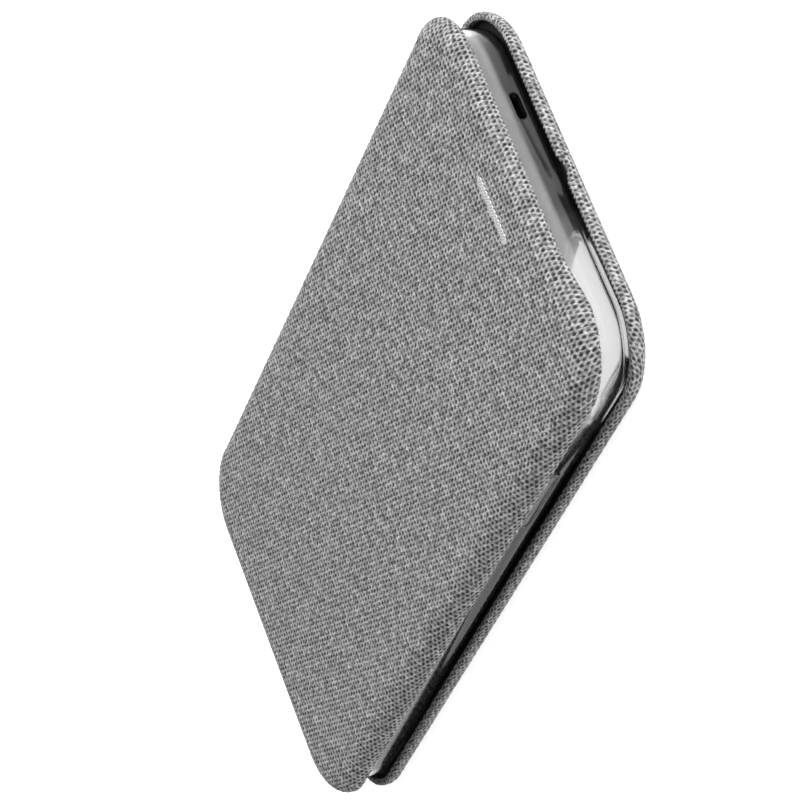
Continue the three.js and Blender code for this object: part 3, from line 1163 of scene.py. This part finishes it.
@dataclass
class Cover:
    """A stiff cover: woven skin outside, suede lining inside, boards between."""

    wardrobe: Wardrobe
    sizes: CoverSizes
    body: Body
    prefix: str

    def skin(self, opening: Outline, turn: float, notch: Notch | LowRim | None = None) -> bpy.types.Object:
        """Makes the woven skin.

        Args:
            opening: what is cut through its face.
            turn: how far that cut is turned in.
            notch: how its rim departs from even.

        Returns:
            The skin.
        """
        run = EdgeRun.rim(self.sizes)
        core = self.sizes.core()
        reach_x = core.half_x + run.total
        reach_y = core.half_y + run.total
        columns = PLAN.columns(self.sizes, -reach_x, reach_x)
        grid = SkinGrid(self.sizes, run, columns, PLAN.rows(-reach_y, reach_y))
        grid.trim_rim()
        grid.trim_spine()
        grid.trim_opening(opening, turn)
        name = self.prefix + "_skin"
        piece = self.wardrobe.dress(grid.mesh(name, notch), self.wardrobe.woven, Slot.WOVEN)
        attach(piece, self.body.value)
        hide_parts(self.prefix + "_fabric")
        report(piece)
        return piece

    def lining(self, opening: Outline) -> bpy.types.Object:
        """Makes the lining, a thin shell turned up inside the rim.

        Args:
            opening: what is cut through its face.

        Returns:
            The lining.
        """
        cover = self.sizes
        side = (CASE.board_side + CASE.glue, CASE.lining_side)
        face = (cover.board_inner + CASE.glue, cover.lining_inner)
        rim = cover.rim - cover.hem_deep + 0.25
        turns = np.linspace(0, np.pi / 2, 9)
        shell = [cover.flank(s, f, turns) for s, f in zip(side, face)]
        profile = [*shell[0], (side[0], rim), (side[1], rim), *reversed(shell[1])]
        levels = [(inset, cover.level(depth)) for inset, depth in profile]
        piece = Mesher.loft(self.prefix + "_suede", levels, CASE.outline())
        cutters = [
            Mesher.slab("cut_spine", CASE.spine_side(CASE.spine_half), -20, 40),
            Mesher.slab("cut_opening", opening, -20, 40),
        ]
        if cover.facing is Facing.UP:
            cutters += LowRim().cutters()
        Mesher.cut(piece, cutters)
        Mesher.sharpen(piece, 50)
        self.wardrobe.dress(piece, self.wardrobe.suede, Slot.SUEDE)
        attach(piece, self.body.value)
        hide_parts(self.prefix + "_lining")
        report(piece)
        return piece

    def magnets(self, low: float, high: float) -> None:
        """Makes the two magnets hidden near the opening edge.

        Args:
            low: the z of their lower face.
            high: the z of their upper face.
        """
        for place, y in (("upper", CASE.magnet_y), ("lower", -CASE.magnet_y)):
            outline = Outline(1.5, 6.0, 0.6, CASE.magnet_x, y, 5)
            edge = 0.1
            profile = [(edge, low), (0, low + edge), (0, high - edge), (edge, high)]
            name = f"{self.prefix}_magnet_{place}"
            piece = Mesher.loft(name + "_bar", profile, outline)
            Mesher.sharpen(piece)
            self.wardrobe.dress(piece, self.wardrobe.magnet, Slot.MAGNET)
            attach(piece, self.body.value)
            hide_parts(name)
            report(piece)


@dataclass
class BackCover(Cover):
    """The cover that the tray is glued to, with the camera opening."""

    camera: Outline = Outline(12.15, 12.5, 5.6, CASE.camera_x, CASE.camera_y)

    def build(self, frame: dict) -> None:
        """Builds and dresses every piece of the back cover.
        """
        self.skin(self.camera, 1.5, Notch())
        self.lining(self.camera)
        self.magnets(0.54, 1.4)
        self.wardrobe.dress_node(frame, "back_board", self.wardrobe.board)
        self.wardrobe.dress_node(frame, "adhesive_pad", self.wardrobe.film)


@dataclass
class FrontCover(Cover):
    """The lid, with the earpiece slit, its mesh and a card pocket."""

    slit: Outline = Outline(6.5, 0.9, 0.88, -0.3, 67.4)
    plate_low: float = 12.02
    plate_high: float = 12.26
    plate_raised: float = 0.4

    def build(self, frame: dict) -> None:
        """Builds and dresses every piece of the front cover.
        """
        self.skin(self.slit, 0.3, LowRim())
        self.lining(self.slit)
        self.magnets(11.52, 12.26)
        self.earpiece()
        self.pocket()
        self.foam_pad()
        self.wardrobe.dress_node(frame, "front_board", self.wardrobe.board)

    def earpiece(self) -> None:
        """Makes the fine punched plate under the slit."""
        outline = Outline(7.7, 2.0, 1.9, self.slit.centre_x, self.slit.centre_y, 8)
        edge = 0.04
        low, high, raised = self.plate_low, self.plate_high, self.plate_raised
        profile = [
            (1.62, low + raised), (1.5, low + raised - 0.06), (1.38, low), (edge, low), (0, low + edge),
            (0, high - edge), (edge, high), (1.1, high), (1.2, high + raised - 0.08), (1.34, high + raised),
        ]
        piece = Mesher.loft("earpiece_plate", profile, outline)
        holes = self._holes(0.17, 0.56, 0.4, 21, 3)
        Mesher.cut(piece, [holes])
        Mesher.sharpen(piece)
        self.wardrobe.dress(piece, self.wardrobe.mesh, Slot.MESH)
        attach(piece, self.body.value)
        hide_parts("earpiece_mesh")
        report(piece)

    def _holes(
        self, radius: float, pitch: float, row_pitch: float, in_row: int, rows: int
    ) -> bpy.types.Object:
        """Staggered rows of round pegs that punch the plate.

        Args:
            radius: of one hole.
            pitch: between two holes of a row.
            row_pitch: between two rows.
            in_row: holes in a row.
            rows: how many rows.

        Returns:
            One mesh of closed pegs.
        """
        turns = np.linspace(0, 2 * np.pi, 10, endpoint=False)
        circle = radius * np.stack([np.cos(turns), np.sin(turns)], 1)
        points, faces = [], []
        count = len(turns)
        for row in range(rows):
            shift = 0.25 * (1 if row % 2 else -1)
            for i in range(in_row):
                x = self.slit.centre_x + (i - (in_row - 1) / 2 + shift) * pitch
                y = self.slit.centre_y + (row - (rows - 1) / 2) * row_pitch
                base = len(points) * count
                for z in (self.plate_low - 1, self.plate_high + 1):
                    points.append(np.column_stack([circle + (x, y), np.full(count, z)]))
                low = list(range(base, base + count))
                high = [n + count for n in low]
                faces.append(low[::-1])
                faces.append(high)
                for k in range(count):
                    n = (k + 1) % count
                    faces.append([low[k], low[n], high[n], high[k]])
        return Mesher.build("punch", np.concatenate(points), faces)

    def pocket(self) -> None:
        """Makes the card pocket, a flat leaf with a thumb notch and softened edges."""
        outline = Outline(29.0, 46.0, 4.0, 0.0, -14.0, 8)
        profile = [(0.12, 10.38), (0, 10.3), (0, 10.14), (0.14, 10.06), (0.5, 10.04)]
        piece = Mesher.loft("card_pocket_leaf", profile, outline)
        thumb = Outline(9.0, 9.0, 8.99, outline.half_x, outline.centre_y, 16)
        Mesher.cut(piece, [Mesher.slab("cut_thumb", thumb, 0, 20)])
        Mesher.sharpen(piece, 40)
        self.wardrobe.dress(piece, self.wardrobe.suede, Slot.SUEDE)
        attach(piece, self.body.value)
        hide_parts("card_pocket")
        report(piece)

    def foam_pad(self) -> None:
        """Makes the thin foam layer between skin and board."""
        outline = Outline(32.7, 73.7, 5.7, 0, 0, 10)
        profile = [(0.3, 11.52), (0.02, 11.6), (0.0, 11.9), (0.1, 12.2), (0.5, 12.27)]
        piece = Mesher.loft("front_padding", profile, outline)
        plate = Outline(8.0, 2.3, 2.2, self.slit.centre_x, self.slit.centre_y, 6)
        cutters = [Mesher.slab("cut_plate", plate, 5, 20)]
        for y in (CASE.magnet_y, -CASE.magnet_y):
            magnet = Outline(1.7, 6.2, 0.8, CASE.magnet_x, y, 4)
            cutters.append(Mesher.slab("cut_magnet", magnet, 5, 20))
        cutters.append(Mesher.slab("cut_spine", CASE.spine_side(90), 5, 20))
        Mesher.cut(piece, cutters)
        Mesher.sharpen(piece, 40)
        self.wardrobe.dress(piece, self.wardrobe.foam, Slot.FOAM)
        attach(piece, self.body.value)
        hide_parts("front_foam")
        report(piece)


# ---------------------------------------- spine


@dataclass
class Spine:
    """The cloth and lining that cross the two creases, and the stiffener between them."""

    wardrobe: Wardrobe
    half: float = CASE.spine_half

    def build(self, frame: dict) -> None:
        """Builds and dresses every piece of the spine.
        """
        lower = self.strip(BACK, "spine_skin_lower")
        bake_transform(lower)
        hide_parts("lower_crease")
        upper = self.strip(FRONT, "spine_skin_upper")
        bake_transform(upper)
        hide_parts("upper_crease", "spine_fabric")
        low_lining = self.lining(BACK, "spine_suede_lower")
        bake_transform(low_lining)
        high_lining = self.lining(FRONT, "spine_suede_upper")
        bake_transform(high_lining)
        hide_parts("spine_lining")
        for piece in (lower, upper, low_lining, high_lining):
            report(piece)
        self.wardrobe.dress_node(frame, "spine_board", self.wardrobe.board)

    @staticmethod
    def _at(x: float, z: float) -> tuple[float, float, float]:
        """A point in metres on the case's middle plane."""
        return (x * MM, 0.0, z * MM)

    def strip(self, cover: CoverSizes, name: str) -> bpy.types.Object:
        """Makes the cloth from a cover's end round its crease to half the spine's height.

        Args:
            cover: the cover it starts from.
            name: the piece's name.

        Returns:
            The strip.
        """
        run = EdgeRun.spine(cover)
        core = cover.core()
        start = -(core.half_x + run.where_inset(CASE.cover_end - CASE.spine_outer))
        end = -(core.half_x + run.total)
        grid = SkinGrid(cover, run, PLAN.columns(cover, end, start), PLAN.rows(-self.half, self.half))
        grid.trim(grid.u - start, 1.0, 0.0, 0.25)
        grid.trim(end - grid.u, -1.0, 0.0, 0.25)
        grid.trim(np.abs(grid.v) - self.half, 0.0, np.sign(grid.v), 1.25)
        piece = self.wardrobe.dress(grid.mesh(name), self.wardrobe.woven, Slot.WOVEN)
        return piece

    def lining(self, cover: CoverSizes, name: str) -> bpy.types.Object:
        """Makes the lining from under a cover's lining round the crease to half the spine's height.

        Args:
            cover: the cover it starts from.
            name: the piece's name.

        Returns:
            The lining strip.
        """
        inner = cover.lining_inner + 0.04
        radius = 1.1
        turns = np.linspace(0, np.pi / 2, 10)
        wall = CASE.spine_inner + 0.03
        path = [(x, inner) for x in np.linspace(-29.4, -33.6, 8)]
        path += [(wall + radius * (1 - math.sin(t)), inner + radius * (1 - math.cos(t))) for t in turns]
        path += [(wall, depth) for depth in np.linspace(inner + radius + 0.4, CASE.mid_height, 8)]
        rows = np.linspace(-self.half + 0.4, self.half - 0.4, 90)
        points = np.array([[(x, y, cover.level(depth)) for x, depth in path] for y in rows])
        facing = Facing.DOWN if cover.facing is Facing.UP else Facing.UP
        piece = Mesher.sheet(name, points[:, ::-1], facing)
        solid = piece.modifiers.new("thickness", "SOLIDIFY")
        solid.thickness = 0.3 * MM
        solid.offset = -1.0
        self.wardrobe.dress(piece, self.wardrobe.suede, Slot.SUEDE)
        return piece


# ---------------------------------------- tray


@dataclass(frozen=True)
class Window:
    """An opening for a button in a side wall."""

    node: str
    body: Body
    right: bool
    y: float
    length: float


@dataclass(frozen=True)
class Port:
    """An opening through an end wall; side is 1 at the top end and -1 at the foot."""

    x: float
    z: float
    width: float
    height: float
    side: int


@dataclass
class Tray:
    """The clear tray that holds the phone, and its three buttons."""

    wardrobe: Wardrobe
    left: float = -34.6
    right: float = 35.0
    half_length: float = 75.7
    corner: float = 11.0
    bottom: float = 2.1
    height: float = 8.0
    wall: float = 1.2
    floor: float = 0.85
    outer_round: float = 1.7
    inner_round: float = 1.3
    button_z: float = 6.7
    button_height: float = 2.4
    button_proud: float = 0.45
    gap: float = 0.2
    windows: tuple[Window, ...] = (
        Window("power_button", Body.POWER, True, 34.0, 17.0),
        Window("volume_up_button", Body.VOLUME_UP, False, 41.0, 11.5),
        Window("volume_down_button", Body.VOLUME_DOWN, False, 27.0, 11.5),
    )
    ports: tuple[Port, ...] = (
        Port(-13.75, 5.4, 5.3, 1.7, 1),
        Port(0.2, 6.1, 13.0, 4.6, -1),
        Port(17.7, 6.1, 13.0, 1.8, -1),
        Port(-17.3, 6.1, 13.0, 1.8, -1),
    )

    def outline(self) -> Outline:
        """The tray's outline in plan."""
        half = (self.right - self.left) / 2
        return Outline(half, self.half_length, self.corner, (self.right + self.left) / 2, 0, 18)

    def build(self) -> None:
        """Builds and dresses the tray and its buttons."""
        self.body()
        for window in self.windows:
            self.button(window)

    def _profile(self) -> list[tuple[float, float]]:
        """The wall's section, from under the floor, round the outside and over the lip to the floor.

        Returns:
            Inset and height above the underside of each point.
        """
        turns = np.linspace(0, np.pi / 2, 8)
        top, wall, wide, tight = self.height, self.wall, self.outer_round, self.inner_round
        outer = [(wide * (1 - math.sin(t)), wide * (1 - math.cos(t))) for t in turns]
        lip = [(0.0, top - 0.45), (0.06, top - 0.2), (0.2, top - 0.05), (0.4, top)]
        bead = [
            (wall + 0.2, top), (wall + 0.38, top - 0.08), (wall + 0.48, top - 0.26),
            (wall + 0.48, top - 0.55), (wall + 0.36, top - 0.78), (wall + 0.12, top - 1.0), (wall, top - 1.2),
        ]
        rise = self.floor + tight
        inner = [(wall + tight * (1 - math.cos(t)), rise - tight * math.sin(t)) for t in turns]
        return [*outer, *lip, *bead, *inner]

    def body(self) -> None:
        """Makes the tray."""
        profile = [(inset, self.bottom + rise) for inset, rise in self._profile()]
        piece = Mesher.loft("clear_tray", profile, self.outline())
        hole = Outline(11.15, 11.5, 4.6, CASE.camera_x, CASE.camera_y, 10)
        around = Outline(11.85, 12.2, 5.3, CASE.camera_x, CASE.camera_y, 10)
        collar = Mesher.loft("collar", [(0.15, 0.3), (0, 0.45), (0, self.bottom + 0.4)], around)
        Mesher.cut(piece, [collar], "UNION")
        cutters = [Mesher.slab("cut_camera", hole, -5, 5)]
        cutters += [self._port_peg(port) for port in self.ports]
        cutters += [self._window_peg(window) for window in self.windows]
        Mesher.cut(piece, cutters)
        self._soften(piece, 0.09)
        self.wardrobe.dress(piece, self.wardrobe.clear, Slot.CLEAR)
        # Painted light: the end walls get the hazier copy, standing in for the stronger light on the tray's
        # ends.
        piece.data.materials.append(self.wardrobe.painted_light_ends)
        ends = (self.half_length - 2.0 * self.wall) * MM
        for face in piece.data.polygons:
            face.material_index = int(abs(face.center.y) > ends)
        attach(piece, Body.BACK.value)
        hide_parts("tray")
        report(piece)

    @staticmethod
    def _soften(piece: bpy.types.Object, width: float) -> None:
        """Rounds a piece's sharp edges.

        Args:
            piece: the piece to change.
            width: the rounding's width.
        """
        bevel = piece.modifiers.new("soft_edges", "BEVEL")
        bevel.width = width * MM
        bevel.segments = 2
        bevel.limit_method = "ANGLE"
        bevel.angle_limit = math.radians(50)
        Mesher.bake(piece)
        Mesher.sharpen(piece, 40)

    @staticmethod
    def _peg(length: float, height: float, reach: float) -> bpy.types.Object:
        """A pill-shaped peg standing on its end, as far below zero as above it."""
        outline = Outline(length / 2, height / 2, height / 2 - 0.005, 0, 0, 10)
        return Mesher.slab("peg", outline, -reach, reach)

    def _port_peg(self, port: Port) -> bpy.types.Object:
        """A peg that cuts a slot through an end wall.

        Args:
            port: the opening it cuts.

        Returns:
            The peg, in its place.
        """
        peg = self._peg(port.width, port.height, 4)
        place = Matrix.Translation(Vector((port.x, port.side * self.half_length, port.z)) * MM)
        peg.data.transform(place @ Matrix.Rotation(math.pi / 2, 4, "X"))
        return peg

    def _window_peg(self, window: Window) -> bpy.types.Object:
        """A peg that cuts a button's window through a side wall.

        Args:
            window: the opening it cuts.

        Returns:
            The peg, in its place.
        """
        peg = self._peg(window.length + 2 * self.gap, self.button_height + 2 * self.gap, 3)
        x = self.right if window.right else self.left
        place = Matrix.Translation(Vector((x, window.y, self.button_z)) * MM)
        turn = Matrix.Rotation(math.pi / 2, 4, "Z") @ Matrix.Rotation(math.pi / 2, 4, "X")
        peg.data.transform(place @ turn)
        return peg

    def button(self, window: Window) -> None:
        """Makes a button, a rounded cap with a shallow groove near its edge.

        Args:
            window: the opening it sits in.
        """
        side = 1 if window.right else -1
        face = self.right if window.right else -self.left
        half = self.button_height / 2
        outline = Outline(window.length / 2, half, half - 0.01, 0, 0, 12)
        proud = self.button_proud
        profile = [
            (0.12, -self.wall), (0, -self.wall + 0.1), (0, proud - 0.22), (0.07, proud - 0.07), (0.22, proud),
            (0.42, proud), (0.5, proud - 0.1), (0.6, proud - 0.1), (0.72, proud - 0.02), (0.95, proud),
        ]
        piece = Mesher.loft(window.node + "_cap", profile, outline)
        turn = Matrix.Rotation(side * math.pi / 2, 4, "Z") @ Matrix.Rotation(math.pi / 2, 4, "X")
        place = Matrix.Translation(Vector((side * face, window.y, self.button_z)) * MM)
        piece.data.transform(place @ turn)
        Mesher.sharpen(piece, 40)
        self.wardrobe.dress(piece, self.wardrobe.clear, Slot.CLEAR)
        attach(piece, window.body.value)
        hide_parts(window.node)
        report(piece)


# ---------------------------------------- studio


@dataclass
class Studio:
    """A pale floor, soft lights and the camera."""

    azimuth: float = 151.79063
    elevation: float = 24.13202
    roll: float = 260.54643
    distance: float = 667.2833
    aim: tuple[float, float, float] = (-11.8348, -11.8044, 0.0)
    lens: float = 168.515

    def build(self) -> None:
        """Sets up everything that isn't the object."""
        self.camera()
        self.floor()
        self.world()
        self.panel("key_panel", (-420, 260, 620), (0, 0, 0), 520, 5.0)
        self.panel("end_panel", (-60, 760, 240), (0, 0, 10), 420, 4.0)

    def camera(self) -> None:
        """Places the camera."""
        a, e, r = (math.radians(v) for v in (self.azimuth, self.elevation, self.roll))
        back = Vector((math.sin(a) * math.cos(e), -math.cos(a) * math.cos(e), math.sin(e)))
        right = (-back).cross(Vector((0, 0, 1))).normalized()
        up = right.cross(-back)
        turned_right = math.cos(r) * right + math.sin(r) * up
        turned_up = -math.sin(r) * right + math.cos(r) * up
        data = bpy.data.cameras.new("camera")
        data.lens = self.lens
        data.sensor_width = 36.0
        data.clip_start = 0.01
        data.clip_end = 20.0
        eye = bpy.data.objects.new("camera", data)
        place = Matrix((turned_right, turned_up, back)).transposed().to_4x4()
        place.translation = (Vector(self.aim) + back * self.distance) * MM
        eye.matrix_world = place
        bpy.context.scene.collection.objects.link(eye)
        bpy.context.scene.camera = eye

    def floor(self) -> None:
        """Lays a wide pale floor."""
        bpy.ops.mesh.primitive_plane_add(size=12.0, location=(0, 0, 0))
        plane = bpy.context.object
        plane.name = "pale_floor"
        shader = Shader("pale_floor")
        shader.set(Base_Color=(0.86, 0.86, 0.86, 1.0), Roughness=0.9, Specular_IOR_Level=0.1)
        shader.set(Emission_Color=(1.0, 1.0, 1.0, 1.0), Emission_Strength=0.72)
        plane.data.materials.append(shader.material)

    def world(self) -> None:
        """Lights everything softly from all round."""
        world = bpy.data.worlds.new("studio")
        world.use_nodes = True
        background = world.node_tree.nodes["Background"]
        background.inputs[0].default_value = (1.0, 1.0, 1.0, 1.0)
        background.inputs[1].default_value = 0.4
        bpy.context.scene.world = world
        bpy.context.scene.view_settings.view_transform = "Standard"

    @staticmethod
    def panel(name: str, place: Sequence[float], aim: Sequence[float], size: float, power: float) -> None:
        """Hangs a soft square light.

        Args:
            name: the light's name.
            place: where it hangs.
            aim: what it faces.
            size: its side.
            power: in watts.
        """
        data = bpy.data.lights.new(name, "AREA")
        data.shape = "SQUARE"
        data.size = size * MM
        data.energy = power
        lamp = bpy.data.objects.new(name, data)
        lamp.location = Vector(place) * MM
        lamp.rotation_euler = (Vector(aim) - Vector(place)).to_track_quat("-Z", "Y").to_euler()
        bpy.context.scene.collection.objects.link(lamp)


# ---------------------------------------- main


def main() -> None:
    """Builds the case's looks around the frame."""
    logging.basicConfig(level=logging.INFO, format="%(message)s")
    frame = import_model()
    Studio().build()
    wardrobe = Wardrobe()
    BackCover(wardrobe, BACK, Body.BACK, "back").build(frame)
    FrontCover(wardrobe, FRONT, Body.FRONT, "front").build(frame)
    Spine(wardrobe).build(frame)
    Tray(wardrobe).build()


if __name__ == "__main__":
    main()
